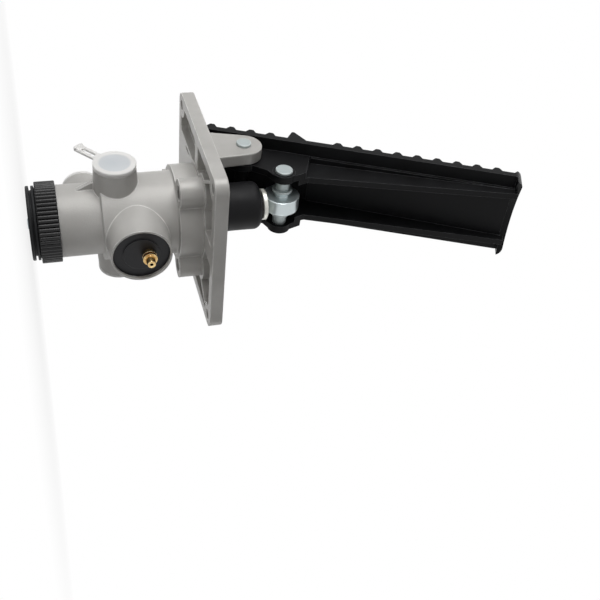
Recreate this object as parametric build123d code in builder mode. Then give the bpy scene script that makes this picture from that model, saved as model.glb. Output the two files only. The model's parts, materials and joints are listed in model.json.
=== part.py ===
from build123d import *
from math import atan2, cos, degrees, radians, sin
import os

# Foot-operated dual-circuit air brake valve with a treadle.
# Millimetres. The origin lies on the valve axis, on the mounting face under the plate.
# +Z runs up the valve axis to the treadle, X runs along the hinge pin,
# and the tread faces -Y.

os.makedirs("parts", exist_ok=True)

# Fits
running_fit = 0.05      # radial play of anything that turns or slides
seat_fit = 0.02         # radial play of anything pressed or seated
rest_gap = 0.3          # axial play at a stop

# Mounting plate
plate_length = 148.0
plate_width = 148.0
plate_centre_y = -1.0
plate_thickness = 11.0
hole_edge = 10.5         # from the plate's edges to the centres of its holes
plate_hole_radius = 4.5
corner_boss_radius = 10.35
pocket_depth = 7.0
rim_width = 8.5
pocket_corner = 4.0
front_pocket_inner = 39.5
cross_rib_front = -5.3
cross_rib_back = 4.8
collar_width = 3.2
centre_rib_width = 19.0
diagonal_rib_width = 2.5
diagonal_rib_inset = 3.6
diagonal_rib_drop = 15.0
diagonal_rib_reach = 50.0
diagonal_rib_angle = 28.0
slot_x = 35.6
slot_y = -37.2
slot_length = 14.0
slot_width = 3.4
plate_edge_round = 1.2
boot_spigot_radius = 18.6
boot_spigot_bore = 14.0
boot_spigot_height = 5.0
stud_thread_depth = 9.0

# Hinge ears on the plate
ear_inner = 29.0
ear_thickness = 11.0
ear_tip_radius = 16.0
ear_foot_front = -61.0
ear_foot_back = -15.0
ear_edge_round = 1.0
hinge_y = -34.0
hinge_z = 48.5
hinge_pin_radius = 5.0
pin_head_radius = 6.5
pin_head_height = 2.5
pin_chamfer = 0.6

# Treadle, in its own frame: u runs up the tread and w stands out of it
tread_foot_y = -76.6
tread_foot_z = 16.6
tread_lean = 23.3
tread_length = 291.0
tread_half_width = 40.0
tread_tip_round = 7.0
web_face = -4.2
web_thickness = 5.5
rib_base = 9.2
rib_top = 3.6
rib_round = 1.6
end_rib_top = 4.4
lower_rib_start = 13.5
lower_rib_pitch = 17.6
wedge_foot = 81.5
wedge_peak = 84.5
wedge_height = 8.4
wedge_round = 1.8
wedge_end = 98.5
upper_rib_start = 126.7
upper_rib_pitch = 17.7
rib_end_margin = 15.0
foot_notch_radius = 4.5
skirt_thickness = 5.0
skirt_depth = 18.8
skirt_arch_depth = 10.2
shoulder_half_width = 28.0
shoulder_thickness = 2.6
near_flange_outer = 28.4
near_flange_thickness = 6.0
far_flange_thickness = 5.5
far_flange_start = 22.5
far_flange_end = 28.0
jog_u = 103.4
jog_thickness = 5.0
flange_depth_at_jog = 35.6
hinge_boss_radius = 16.0
hinge_tube_radius = 6.4
roller_lug_radius = 10.0
jog_lip = 1.5
jog_lip_run = 3.0
lug_neck_run = 4.5
hinge_tangent = 40.0
lug_tangent = 45.0
lug_edge_tangent = 72.0
pin_pad_radius = 10.0
pin_pad_height = 1.1

# Roller and its pin
roller_y = -4.0
roller_z = 77.6
roller_radius = 15.7
roller_width = 13.0
roller_hub_radius = 6.5
roller_hub_length = 4.0
roller_edge_round = 1.0
roller_pin_radius = 4.5
roller_head_radius = 7.5
roller_head_height = 2.4
roller_washer_radius = 8.8
roller_washer_thickness = 2.0
roller_sleeve_radius = 6.25

# Valve body, a casting: depths are measured down from the mounting face
flange_radius = 39.8
flange_depth = 19.2
flange_root_round = 1.2
lobe_centre = 44.5
lobe_radius = 11.5
lobe_depth = 19.0
front_lobe_angle = -90.0
rear_lobe_angle = 35.0
upper_radius = 34.9
shoulder_below_port = 13.7
lower_radius = 29.6
silencer_below_guide = 10.3
neck_radius = 27.0
neck_length = 12.2
cast_round = 1.0
front_rib_width = 5.0
front_rib_height = 1.5
gusset_thickness = 4.0
gusset_reach = 36.0
gusset_edge = 2.5
gusset_length = 33.5
embed = 1.0             # how far a joined form is sunk into its carrier

# Ports
port_boss_radius = 17.0
port_boss_draft = 3.0
port_pocket_radius = 10.25
port_pocket_depth = 14.0
passage_radius = 2.75
side_port_face = 49.0
front_port_face = 42.0
rear_boss_above_port = 12.5
rear_boss_face = 55.5
rear_boss_draft = 3.3
rear_boss_root = 20.0
rear_plug_radius = 22.7
rear_boss_wall = 1.6
rear_recess_depth = 13.5
rear_passage_gap = 3.25

# Inside the body, from the top down
upper_bore = 29.0
upper_piston_room = 10.0
partition_thickness = 4.0
valve_seat_radius = 9.0
chamber_radius = 20.5
chamber_height = 9.0
relay_bore = 22.5
port_clearance = 3.55
skirt_clearance = 1.95
relay_piston_room = 6.0
lower_bore = 24.5
lower_port_clearance = 0.25
lower_chamber_height = 10.0
snap_groove_width = 1.7
snap_groove_radius = 25.8
seal_groove_inner = 32.0
seal_groove_outer = 35.0
seal_groove_depth = 2.0

# Screws between body and plate
screw_radius = 4.0
screw_clearance = 0.5
screw_head_radius = 5.9
screw_head_height = 6.0
screw_pocket_radius = 6.4
screw_pocket_depth = 9.0
screw_socket_across = 5.5
screw_socket_depth = 4.0

# Plunger under the roller
plunger_radius = 8.0
disc_radius = 13.5
disc_thickness = 4.0
disc_edge_chamfer = 0.6
disc_spigot_radius = 5.0
disc_spigot_height = 2.5
spring_seat_radius = 20.0
spring_seat_top = 3.0
spring_seat_thickness = 5.0
guide_outer = 12.0
guide_flange = 16.0
guide_top = 30.0

# Boot over the plunger
boot_radius = 20.9
boot_wall = 2.0
boot_shoulder_round = 6.5
boot_top = 55.8
boot_neck_radius = 11.0
boot_neck_top = 57.3
boot_grip = 0.3

# Pistons, valves and their carriers
graduating_room = 16.0
crown_thickness = 6.0
stem_radius = 7.0
stem_bore = 4.0
upper_valve_lift = 1.5
piston_ring_width = 3.0
piston_ring_depth = 2.5
valve_disc_radius = 11.5
valve_disc_thickness = 3.0
valve_stem_radius = 6.5
valve_stem_length = 13.0
lower_valve_stem_length = 14.0
guide_plate_thickness = 6.0
skirt_wall = 2.0
lower_valve_lift = 1.2
carrier_thickness = 4.0
snap_ring_inner = 22.0
snap_ring_gap = 8.0

# Springs
graduating_coil = 14.0
graduating_wire = 1.9
graduating_turns = 2.4
piston_coil = 11.5
piston_wire = 1.0
piston_turns = 3.0
valve_coil = 8.5
valve_wire = 0.6
valve_turns = 3.2
relay_coil = 10.5
relay_wire = 0.5
relay_turns = 3.0

# Silencer
silencer_radius = 33.1
silencer_below_neck = 3.9
silencer_floor = 3.6
flute_count = 58
flute_radius = 1.05
flute_depth = 0.8
vent_count = 8
vent_radius = 3.0
vent_circle = 17.0
felt_thickness = 6.0
felt_bore = 7.0
felt_radius = 24.0
flap_radius = 30.2
flap_thickness = 7.0
flap_gap_depth = 2.4
flap_dish_radius = 13.0
flap_dish_depth = 1.5
flap_gap_radius = 28.6
flap_edge_round = 1.6
flap_washer_radius = 12.0
flap_washer_thickness = 1.4
rivet_radius = 3.0
rivet_head_radius = 4.6
rivet_head_height = 1.1
rivet_hollow_radius = 1.9
rivet_hollow_depth = 5.0

# Rear plug and nipple
plug_sink = 3.0
plug_thickness = 7.0
plug_step_radius = 14.5
plug_step_height = 1.0
nipple_above_plug = 5.8
nipple_shank_radius = 4.0
nipple_base_radius = 5.0
nipple_base_height = 2.0
nipple_ring_radius = 5.7
nipple_ring_height = 1.9
nipple_ring_gap = 1.4
nipple_stem_radius = 4.0
nipple_tip_radius = 3.2
nipple_bore_radius = 1.4
nipple_length = 13.5

# Transit caps in the ports
cap_radius = 17.2
cap_base = 1.8
cap_rim_height = 1.7
cap_rim_width = 4.6
cap_shank_radius = 10.1
cap_shank_length = 12.0
cap_shank_wall = 1.8
cap_edge_round = 0.7
tab_length = 21.5
tab_width = 9.0
tab_thickness = 2.2
tab_slot_length = 13.0
tab_slot_width = 3.0
tab_slot_start = 2.5
tab_lip_length = 4.0
tab_lip_thickness = 3.6
tab_overlap = 2.0
tab_end_round = 1.5
side_tab_tilt = 3.0

# Worked out from the sizes above: depths down the valve axis, one after the other
spring_seat_bottom = spring_seat_top + spring_seat_thickness
upper_crown_top = spring_seat_bottom + graduating_room
upper_crown_bottom = upper_crown_top + crown_thickness
partition_top = upper_crown_bottom + upper_piston_room
partition_bottom = partition_top + partition_thickness
relay_bore_top = partition_bottom + chamber_height
upper_plate_bottom = relay_bore_top + guide_plate_thickness
side_port_depth = upper_plate_bottom + port_clearance + passage_radius
relay_crown_top = side_port_depth + passage_radius + skirt_clearance
relay_crown_bottom = relay_crown_top + crown_thickness
carrier_shoulder = relay_crown_bottom + relay_piston_room
carrier_bottom = carrier_shoulder + carrier_thickness
front_port_depth = carrier_bottom + lower_port_clearance + passage_radius
lower_guide_top = carrier_bottom + lower_chamber_height
lower_plate_bottom = lower_guide_top + guide_plate_thickness
snap_groove_top = lower_plate_bottom + rest_gap
silencer_top = lower_plate_bottom + silencer_below_guide
neck_end = silencer_top + neck_length
silencer_bottom = neck_end + silencer_below_neck
silencer_inner_floor = silencer_bottom - silencer_floor
flap_bottom = silencer_bottom + flap_thickness
flap_dish_floor = flap_bottom - flap_dish_depth
washer_bottom = flap_dish_floor + flap_washer_thickness
upper_stem_end = partition_bottom - upper_valve_lift
relay_stem_end = carrier_bottom - lower_valve_lift
shoulder_depth = side_port_depth + shoulder_below_port
rear_boss_depth = side_port_depth - rear_boss_above_port
rear_passage_depth = upper_crown_bottom + passage_radius + rear_passage_gap
nipple_depth = rear_boss_depth - nipple_above_plug

# Worked out across the axis
hole_x = plate_length / 2 - hole_edge
hole_y = plate_width / 2 - hole_edge
pocket_outer_x = plate_length / 2 - rim_width
pocket_back_y = plate_centre_y + plate_width / 2 - rim_width
pocket_front_y = plate_centre_y - plate_width / 2 + rim_width
collar_radius = flange_radius + collar_width
lobe_pad_radius = lobe_radius + collar_width
lobe_angles = (front_lobe_angle, rear_lobe_angle, 180 - rear_lobe_angle)
lobe_places = [
    (lobe_centre * cos(radians(angle)), lobe_centre * sin(radians(angle))) for angle in lobe_angles
]
rear_boss_radius = rear_plug_radius + rear_boss_wall
rear_recess_floor = rear_boss_face - rear_recess_depth
plug_face = rear_boss_face - plug_sink
lower_rib_count = 1 + int((wedge_foot - rib_base / 2 - lower_rib_start) / lower_rib_pitch)
upper_rib_count = 1 + int((tread_length - rib_end_margin - upper_rib_start) / upper_rib_pitch)
ear_outer = ear_inner + ear_thickness
tread_up = Vector(0, sin(radians(tread_lean)), cos(radians(tread_lean)))
tread_out = Vector(0, -cos(radians(tread_lean)), sin(radians(tread_lean)))
tread_foot = Vector(0, tread_foot_y, tread_foot_z)
tread_plane = Plane(origin=tread_foot, x_dir=(1, 0, 0), z_dir=tread_out)
tread_side = Plane(origin=tread_foot, x_dir=tread_up, z_dir=(1, 0, 0))
hinge_arm = Vector(0, hinge_y, hinge_z) - tread_foot
hinge_u = hinge_arm.dot(tread_up)
hinge_w = hinge_arm.dot(tread_out)
roller_arm = Vector(0, roller_y, roller_z) - tread_foot
roller_u = roller_arm.dot(tread_up)
roller_w = roller_arm.dot(tread_out)
web_back = web_face - web_thickness
near_flange_inner = near_flange_outer - near_flange_thickness
disc_top = roller_z - roller_radius - 2 * running_fit
disc_bottom = disc_top - disc_thickness


def turned(profile, mode=Mode.ADD):
    # a closed outline of (radius, height) points turned about the valve axis
    with BuildSketch(Plane.XZ) as section:
        with BuildLine():
            Polyline(*profile, close=True)
        make_face()
    revolve(section.sketch, axis=Axis.Z, mode=mode)


def prism(plane, points, amount, both=False, mode=Mode.ADD):
    # a closed outline of points drawn on a plane and given a thickness
    with BuildSketch(plane) as section:
        with BuildLine():
            Polyline(*points, close=True)
        make_face()
    extrude(section.sketch, amount=amount, both=both, mode=mode)


def around(u, w, radius, angle):
    # a point on a circle in a side view, turned from the side away from the tread
    return (u + radius * sin(radians(angle)), w - radius * cos(radians(angle)))


def facing_bar(depth, radius, start, end, mode=Mode.ADD):
    # a round bar along Y between two stations, at a depth on the valve axis
    with BuildSketch(Plane.XZ.offset(-start)) as section:
        with Locations((0, -depth)):
            Circle(radius)
    extrude(section.sketch, amount=start - end, mode=mode)


def cross_bar(y, z, radius, start, end, mode=Mode.ADD):
    # a round bar along X between two stations
    with BuildSketch(Plane.YZ.offset(start)) as section:
        with Locations((y, z)):
            Circle(radius)
    extrude(section.sketch, amount=end - start, mode=mode)


def coil(radius, wire, turns, top, bottom):
    # an open helical spring between two seats
    height = top - bottom - 2 * wire
    with BuildLine() as path:
        Helix(pitch=height / turns, height=height, radius=radius, center=(0, 0, bottom + wire))
    with BuildSketch(Plane(path.line @ 0, z_dir=path.line % 0)) as section:
        Circle(wire)
    sweep(section.sketch, path=path.line, is_frenet=True)


# Valve body: stepped barrel, screw lobes, port bosses, gussets and the stepped bore
with BuildPart() as valve_body:
    with BuildSketch(Plane.XZ) as barrel:
        with BuildLine():
            Polyline(
                (0, 0),
                (flange_radius, 0),
                (flange_radius, -flange_depth),
                (upper_radius, -flange_depth),
                (upper_radius, -shoulder_depth),
                (lower_radius, -shoulder_depth),
                (lower_radius, -silencer_top),
                (neck_radius, -silencer_top),
                (neck_radius, -neck_end),
                (0, -neck_end),
                close=True,
            )
        make_face()
        shoulder_corners = barrel.vertices().sort_by(Axis.Y)[4:6]
        fillet(shoulder_corners, cast_round)
        flange_corners = barrel.vertices().sort_by(Axis.Y)[-4:-2].sort_by(Axis.X)
        fillet(flange_corners[0], flange_root_round)
        fillet(flange_corners[1], cast_round / 2)
    revolve(axis=Axis.Z)
    for angle in lobe_angles:
        with BuildSketch(Plane.XY.offset(-lobe_depth)):
            with PolarLocations(0, 1, start_angle=angle):
                Rectangle(lobe_centre, 2 * lobe_radius, align=(Align.MIN, Align.CENTER))
            with PolarLocations(lobe_centre, 1, start_angle=angle):
                Circle(lobe_radius)
        extrude(amount=lobe_depth)
    for side in (1, -1):
        with BuildSketch(Plane((side * side_port_face, 0, -side_port_depth), z_dir=(-side, 0, 0))):
            Circle(port_boss_radius)
        extrude(amount=side_port_face - chamber_radius, taper=-port_boss_draft)
    with BuildSketch(Plane((0, -front_port_face, -front_port_depth), z_dir=(0, 1, 0))):
        Circle(port_boss_radius)
    extrude(amount=front_port_face - chamber_radius, taper=-port_boss_draft)
    with BuildSketch(Plane((0, rear_boss_face, -rear_boss_depth), z_dir=(0, -1, 0))):
        Circle(rear_boss_radius)
    extrude(amount=rear_boss_face - rear_boss_root, taper=-rear_boss_draft)
    prism(
        Plane.XZ,
        [
            (-gusset_reach, -side_port_depth - port_boss_radius + embed),
            (gusset_reach, -side_port_depth - port_boss_radius + embed),
            (gusset_reach, -side_port_depth - port_boss_radius - gusset_edge),
            (lower_radius - embed, -side_port_depth - gusset_length),
            (-lower_radius + embed, -side_port_depth - gusset_length),
            (-gusset_reach, -side_port_depth - port_boss_radius - gusset_edge),
        ],
        gusset_thickness / 2,
        both=True,
    )
    with BuildSketch(Plane.XY.offset(-front_port_depth + port_boss_radius - embed)):
        with Locations((0, -upper_radius - front_rib_height)):
            Rectangle(front_rib_width, upper_radius, align=(Align.CENTER, Align.MIN))
    extrude(amount=front_port_depth - port_boss_radius - flange_depth + 2 * embed)
    turned(
        [
            (0, embed),
            (upper_bore, embed),
            (upper_bore, -partition_top),
            (valve_seat_radius, -partition_top),
            (valve_seat_radius, -partition_bottom),
            (chamber_radius, -partition_bottom),
            (chamber_radius, -relay_bore_top),
            (relay_bore, -relay_bore_top),
            (relay_bore, -carrier_shoulder),
            (lower_bore, -carrier_shoulder),
            (lower_bore, -snap_groove_top),
            (snap_groove_radius, -snap_groove_top),
            (snap_groove_radius, -snap_groove_top - snap_groove_width),
            (lower_bore, -snap_groove_top - snap_groove_width),
            (lower_bore, -neck_end - embed),
            (0, -neck_end - embed),
        ],
        mode=Mode.SUBTRACT,
    )
    turned(
        [
            (seal_groove_inner, embed),
            (seal_groove_outer, embed),
            (seal_groove_outer, -seal_groove_depth),
            (seal_groove_inner, -seal_groove_depth),
        ],
        mode=Mode.SUBTRACT,
    )
    for side in (1, -1):
        face = side * side_port_face
        floor = side * (side_port_face - port_pocket_depth)
        cross_bar(0, -side_port_depth, port_pocket_radius, floor, face, Mode.SUBTRACT)
        cross_bar(0, -side_port_depth, passage_radius, side * (relay_bore - embed), floor, Mode.SUBTRACT)
    front_pocket_floor = port_pocket_depth - front_port_face
    facing_bar(front_port_depth, port_pocket_radius, -front_port_face, front_pocket_floor, Mode.SUBTRACT)
    facing_bar(front_port_depth, passage_radius, -front_port_face, embed - lower_bore, Mode.SUBTRACT)
    recess_radius = rear_plug_radius + seat_fit
    facing_bar(rear_boss_depth, recess_radius, rear_recess_floor, rear_boss_face, Mode.SUBTRACT)
    facing_bar(rear_passage_depth, passage_radius, upper_bore - embed, rear_recess_floor, Mode.SUBTRACT)
    with BuildSketch(Plane.XY.offset(-lobe_depth)):
        with Locations(*lobe_places):
            Circle(screw_pocket_radius)
    extrude(amount=screw_pocket_depth, mode=Mode.SUBTRACT)
    with BuildSketch(Plane.XY.offset(-lobe_depth)):
        with Locations(*lobe_places):
            Circle(screw_radius + screw_clearance)
    extrude(amount=lobe_depth, mode=Mode.SUBTRACT)
valve_body.part.label = "valve_body"
export_step(valve_body.part, "parts/valve_body.step")

# Face seal between body and plate
with BuildPart() as flange_seal:
    turned(
        [
            (seal_groove_inner + seat_fit, 0),
            (seal_groove_outer - seat_fit, 0),
            (seal_groove_outer - seat_fit, -seal_groove_depth),
            (seal_groove_inner + seat_fit, -seal_groove_depth),
        ]
    )
flange_seal.part.label = "flange_seal"
export_step(flange_seal.part, "parts/flange_seal.step")

# Mounting plate with its hinge ears: one casting, hollowed from below
with BuildPart() as mounting_plate:
    with BuildSketch():
        with Locations((0, plate_centre_y)):
            RectangleRounded(plate_length, plate_width, corner_boss_radius)
    extrude(amount=plate_thickness)
    fillet(mounting_plate.faces().sort_by(Axis.Z)[-1].edges(), plate_edge_round)
    for side in (1, -1):
        with BuildSketch(Plane.YZ.offset(side * ear_inner)):
            with Locations((hinge_y, hinge_z)):
                Circle(ear_tip_radius)
            with BuildLine():
                Polyline(
                    (ear_foot_front, plate_thickness - embed),
                    (ear_foot_back, plate_thickness - embed),
                    (ear_foot_back - embed, plate_thickness),
                    close=True,
                )
            make_face()
            make_hull()
        extrude(amount=side * ear_thickness)
    above_plate = (plate_thickness + embed, hinge_z + 2 * ear_tip_radius)
    ear_faces = mounting_plate.faces().filter_by(Axis.X).filter_by_position(Axis.Z, *above_plate)
    ear_rims = ear_faces.edges().filter_by_position(Axis.Z, *above_plate)
    fillet(ear_rims, ear_edge_round)
    turned(
        [
            (boot_spigot_bore, plate_thickness - embed),
            (boot_spigot_radius, plate_thickness - embed),
            (boot_spigot_radius, plate_thickness + boot_spigot_height),
            (boot_spigot_bore, plate_thickness + boot_spigot_height),
        ]
    )
    with BuildSketch():
        with Locations((0, plate_centre_y)):
            with GridLocations(2 * hole_x, 2 * hole_y, 2, 2):
                Circle(plate_hole_radius)
        Circle(guide_outer + seat_fit)
    extrude(amount=plate_thickness, mode=Mode.SUBTRACT)
    with BuildSketch():
        with Locations(*lobe_places):
            Circle(screw_radius + seat_fit)
    extrude(amount=stud_thread_depth, mode=Mode.SUBTRACT)
    rib_root = Vector(
        diagonal_rib_reach * cos(radians(diagonal_rib_angle)),
        diagonal_rib_reach * sin(radians(diagonal_rib_angle)),
    )
    rib_foot = Vector(hole_x - diagonal_rib_inset, plate_centre_y + hole_y - diagonal_rib_drop)
    rib_line = rib_foot - rib_root
    rib_middle = (rib_foot + rib_root) / 2
    rib_turn = degrees(atan2(rib_line.Y, rib_line.X))
    with BuildSketch() as pockets:
        with Locations((0, (cross_rib_back + pocket_back_y) / 2)):
            Rectangle(2 * pocket_outer_x, pocket_back_y - cross_rib_back)
        with Locations((0, pocket_back_y)):
            Rectangle(centre_rib_width, 2 * (pocket_back_y - cross_rib_back), mode=Mode.SUBTRACT)
        for side in (1, -1):
            with Locations((side * rib_middle.X, rib_middle.Y)):
                Rectangle(
                    rib_line.length + 2 * collar_width,
                    diagonal_rib_width,
                    rotation=side * rib_turn,
                    mode=Mode.SUBTRACT,
                )
        front_pocket_x = (front_pocket_inner + pocket_outer_x) / 2
        with Locations((0, (pocket_front_y + cross_rib_front) / 2)):
            with GridLocations(2 * front_pocket_x, 0, 2, 1):
                RectangleRounded(
                    pocket_outer_x - front_pocket_inner, cross_rib_front - pocket_front_y, pocket_corner
                )
        Circle(collar_radius, mode=Mode.SUBTRACT)
        with Locations(*lobe_places):
            Circle(lobe_pad_radius, mode=Mode.SUBTRACT)
        with Locations((0, plate_centre_y)):
            with GridLocations(2 * hole_x, 2 * hole_y, 2, 2):
                Circle(corner_boss_radius, mode=Mode.SUBTRACT)
        with Locations((0, slot_y)):
            with GridLocations(2 * slot_x, 0, 2, 1):
                SlotOverall(slot_length, slot_width, rotation=90)
    extrude(amount=pocket_depth, mode=Mode.SUBTRACT)
    cross_bar(hinge_y, hinge_z, hinge_pin_radius + seat_fit, -ear_outer, ear_outer, Mode.SUBTRACT)
mounting_plate.part.label = "mounting_plate"
export_step(mounting_plate.part, "parts/mounting_plate.step")

# Three socket screws up through the body's lobes into the plate
with BuildPart() as flange_screws:
    head_top = -lobe_depth + screw_pocket_depth
    with BuildSketch(Plane.XY.offset(head_top)):
        with Locations(*lobe_places):
            Circle(screw_head_radius)
    extrude(amount=-screw_head_height)
    with BuildSketch(Plane.XY.offset(head_top)):
        with Locations(*lobe_places):
            Circle(screw_radius)
    extrude(amount=stud_thread_depth - rest_gap - head_top)
    with BuildSketch(Plane.XY.offset(head_top - screw_head_height)):
        with Locations(*lobe_places):
            RegularPolygon(screw_socket_across / 2, 6, major_radius=False)
    extrude(amount=screw_socket_depth, mode=Mode.SUBTRACT)
flange_screws.part.label = "flange_screws"
export_step(flange_screws.part, "parts/flange_screws.step")

# Side cheeks of the treadle: a near pair on the hinge, a jog, and a far pair to the tip
cheek_drop = (flange_depth_at_jog - skirt_depth) / (tread_length - jog_u)
with BuildPart() as cheeks:
    for side in (1, -1):
        prism(
            tread_plane.offset(web_back + embed),
            [
                (side * near_flange_inner, hinge_u - hinge_boss_radius),
                (side * near_flange_outer, hinge_u - hinge_boss_radius),
                (side * near_flange_outer, jog_u),
                (side * far_flange_start, jog_u),
                (side * far_flange_end, tread_length - skirt_thickness / 2),
                (side * (far_flange_end - far_flange_thickness), tread_length - skirt_thickness / 2),
                (side * (far_flange_start - far_flange_thickness), jog_u),
                (side * (far_flange_start - far_flange_thickness), jog_u - jog_thickness),
                (side * near_flange_inner, jog_u - jog_thickness),
            ],
            roller_w - roller_lug_radius - web_back - 2 * embed,
        )
    with BuildSketch(tread_side) as cheek_outline:
        with BuildLine():
            Polyline(
                (hinge_u - hinge_boss_radius, web_back + 2 * embed),
                (hinge_u - hinge_boss_radius, hinge_w),
                (hinge_u, hinge_w - embed),
                around(hinge_u, hinge_w, hinge_boss_radius, hinge_tangent),
                (roller_u - roller_lug_radius - lug_neck_run, roller_w),
                around(roller_u, roller_w, roller_lug_radius, -lug_tangent),
                around(roller_u, roller_w, roller_lug_radius, lug_edge_tangent),
                (jog_u, -flange_depth_at_jog - jog_lip),
                (jog_u + jog_lip_run, -flange_depth_at_jog + cheek_drop * jog_lip_run),
                (tread_length, -skirt_depth),
                (tread_length, web_back + 2 * embed),
                close=True,
            )
        make_face()
        with Locations((hinge_u, hinge_w)):
            Circle(hinge_boss_radius)
        with Locations((roller_u, roller_w)):
            Circle(roller_lug_radius)
    extrude(cheek_outline.sketch, amount=tread_half_width, both=True, mode=Mode.INTERSECT)

# Treadle: ribbed tread, shoulder strip, end skirt and cheeks, one casting
with BuildPart() as pedal:
    rib_centres = [lower_rib_start + lower_rib_pitch * i for i in range(lower_rib_count)]
    upper_centres = [upper_rib_start + upper_rib_pitch * i for i in range(upper_rib_count)]
    rib_flank = (rib_base - rib_top) / 2
    outline = [(0, web_back), (0, 0), (end_rib_top, 0), (end_rib_top + rib_flank, web_face)]
    for centre in rib_centres:
        outline += [(centre - rib_base / 2, web_face), (centre - rib_top / 2, 0)]
        outline += [(centre + rib_top / 2, 0), (centre + rib_base / 2, web_face)]
    outline += [(wedge_foot, web_face), (wedge_peak, wedge_height), (wedge_end, web_face)]
    for centre in upper_centres:
        outline += [(centre - rib_base / 2, web_face), (centre - rib_top / 2, 0)]
        outline += [(centre + rib_top / 2, 0), (centre + rib_base / 2, web_face)]
    outline += [(tread_length - end_rib_top - rib_flank, web_face), (tread_length - end_rib_top, 0)]
    outline += [(tread_length, 0), (tread_length, web_back)]
    with BuildSketch(tread_side) as tread_section:
        Polygon(*outline, align=None)
        rib_tops = tread_section.vertices().filter_by_position(Axis.Y, -seat_fit, seat_fit)
        fillet(rib_tops.sort_by(Axis.X)[1:-1], rib_round)
        fillet(tread_section.vertices().sort_by(Axis.Y)[-1], wedge_round)
    extrude(tread_section.sketch, amount=tread_half_width, both=True)
    with BuildSketch(tread_plane.offset(web_back)):
        with Locations((0, (jog_u + tread_length) / 2)):
            Rectangle(2 * shoulder_half_width, tread_length - jog_u - 2 * embed)
    extrude(amount=-shoulder_thickness)
    with BuildSketch(tread_side):
        with Locations((tread_length - skirt_thickness / 2, (web_back - skirt_depth) / 2)):
            Rectangle(skirt_thickness, skirt_depth + web_back + embed)
    extrude(amount=tread_half_width, both=True)
    skirt_end = Plane(origin=tread_foot + tread_up * tread_length, x_dir=(1, 0, 0), z_dir=tread_up)
    with BuildSketch(skirt_end):
        with BuildLine():
            arch = ThreePointArc(
                (-tread_half_width - embed, skirt_depth + embed),
                (0, skirt_arch_depth),
                (tread_half_width + embed, skirt_depth + embed),
            )
            Line(arch @ 1, arch @ 0)
        make_face()
    extrude(amount=-skirt_thickness - embed, mode=Mode.SUBTRACT)
    with BuildSketch(tread_plane) as tread_outline:
        Rectangle(2 * tread_half_width, tread_length, align=(Align.CENTER, Align.MIN))
        tip_corners = tread_outline.vertices().sort_by(Axis.Y)[-2:]
        fillet(tip_corners, tread_tip_round)
    extrude(amount=2 * skirt_depth, both=True, mode=Mode.INTERSECT)
    add(cheeks.part)
    cross_bar(hinge_y, hinge_z, hinge_tube_radius, -near_flange_inner - embed, near_flange_inner + embed)
    for side in (1, -1):
        pad_face = side * (near_flange_outer + pin_pad_height)
        cross_bar(roller_y, roller_z, pin_pad_radius, side * near_flange_inner, pad_face)
    with BuildSketch(tread_plane.offset(web_back)):
        Circle(foot_notch_radius)
    extrude(amount=web_thickness / 2, mode=Mode.SUBTRACT)
    cross_bar(hinge_y, hinge_z, hinge_pin_radius + running_fit, -ear_outer, ear_outer, Mode.SUBTRACT)
    cross_bar(roller_y, roller_z, roller_pin_radius + seat_fit, -ear_outer, ear_outer, Mode.SUBTRACT)
pedal.part.label = "pedal"
export_step(pedal.part, "parts/pedal.step")

# Hinge pin with its head, and the cap pressed on its other end
with BuildPart() as hinge_pin:
    cross_bar(hinge_y, hinge_z, hinge_pin_radius, -ear_outer - pin_head_height / 2, ear_outer)
    cross_bar(hinge_y, hinge_z, pin_head_radius, ear_outer, ear_outer + pin_head_height)
    chamfer(hinge_pin.edges().sort_by(Axis.X)[-1], pin_chamfer)
hinge_pin.part.label = "hinge_pin"
export_step(hinge_pin.part, "parts/hinge_pin.step")

with BuildPart() as hinge_pin_cap:
    cap_face = -ear_outer - pin_head_height
    cross_bar(hinge_y, hinge_z, pin_head_radius, cap_face, -ear_outer)
    chamfer(hinge_pin_cap.edges().sort_by(Axis.X)[0], pin_chamfer)
    cap_floor = -ear_outer - pin_head_height / 2 - seat_fit
    cross_bar(hinge_y, hinge_z, hinge_pin_radius + seat_fit, cap_floor, -ear_outer, Mode.SUBTRACT)
hinge_pin_cap.part.label = "hinge_pin_cap"
export_step(hinge_pin_cap.part, "parts/hinge_pin_cap.step")

# Roller pin with its head and cap
pad_outer = near_flange_outer + pin_pad_height
with BuildPart() as roller_pin:
    cross_bar(roller_y, roller_z, roller_pin_radius, -pad_outer - roller_head_height / 2, pad_outer)
    cross_bar(roller_y, roller_z, roller_head_radius, pad_outer, pad_outer + roller_head_height)
    chamfer(roller_pin.edges().sort_by(Axis.X)[-1], pin_chamfer)
roller_pin.part.label = "roller_pin"
export_step(roller_pin.part, "parts/roller_pin.step")

with BuildPart() as roller_pin_cap:
    cross_bar(roller_y, roller_z, roller_head_radius, -pad_outer - roller_head_height, -pad_outer)
    chamfer(roller_pin_cap.edges().sort_by(Axis.X)[0], pin_chamfer)
    cap_floor = -pad_outer - roller_head_height / 2 - seat_fit
    cross_bar(roller_y, roller_z, roller_pin_radius + seat_fit, cap_floor, -pad_outer, Mode.SUBTRACT)
roller_pin_cap.part.label = "roller_pin_cap"
export_step(roller_pin_cap.part, "parts/roller_pin_cap.step")

# Roller with a hub each side
hub_end = roller_width / 2 + roller_hub_length
with BuildPart() as roller:
    cross_bar(roller_y, roller_z, roller_radius, -roller_width / 2, roller_width / 2)
    fillet(roller.edges().filter_by(GeomType.CIRCLE), roller_edge_round)
    cross_bar(roller_y, roller_z, roller_hub_radius, -hub_end, hub_end)
    cross_bar(roller_y, roller_z, roller_pin_radius + running_fit, -hub_end, hub_end, Mode.SUBTRACT)
roller.part.label = "roller"
export_step(roller.part, "parts/roller.step")

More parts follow.
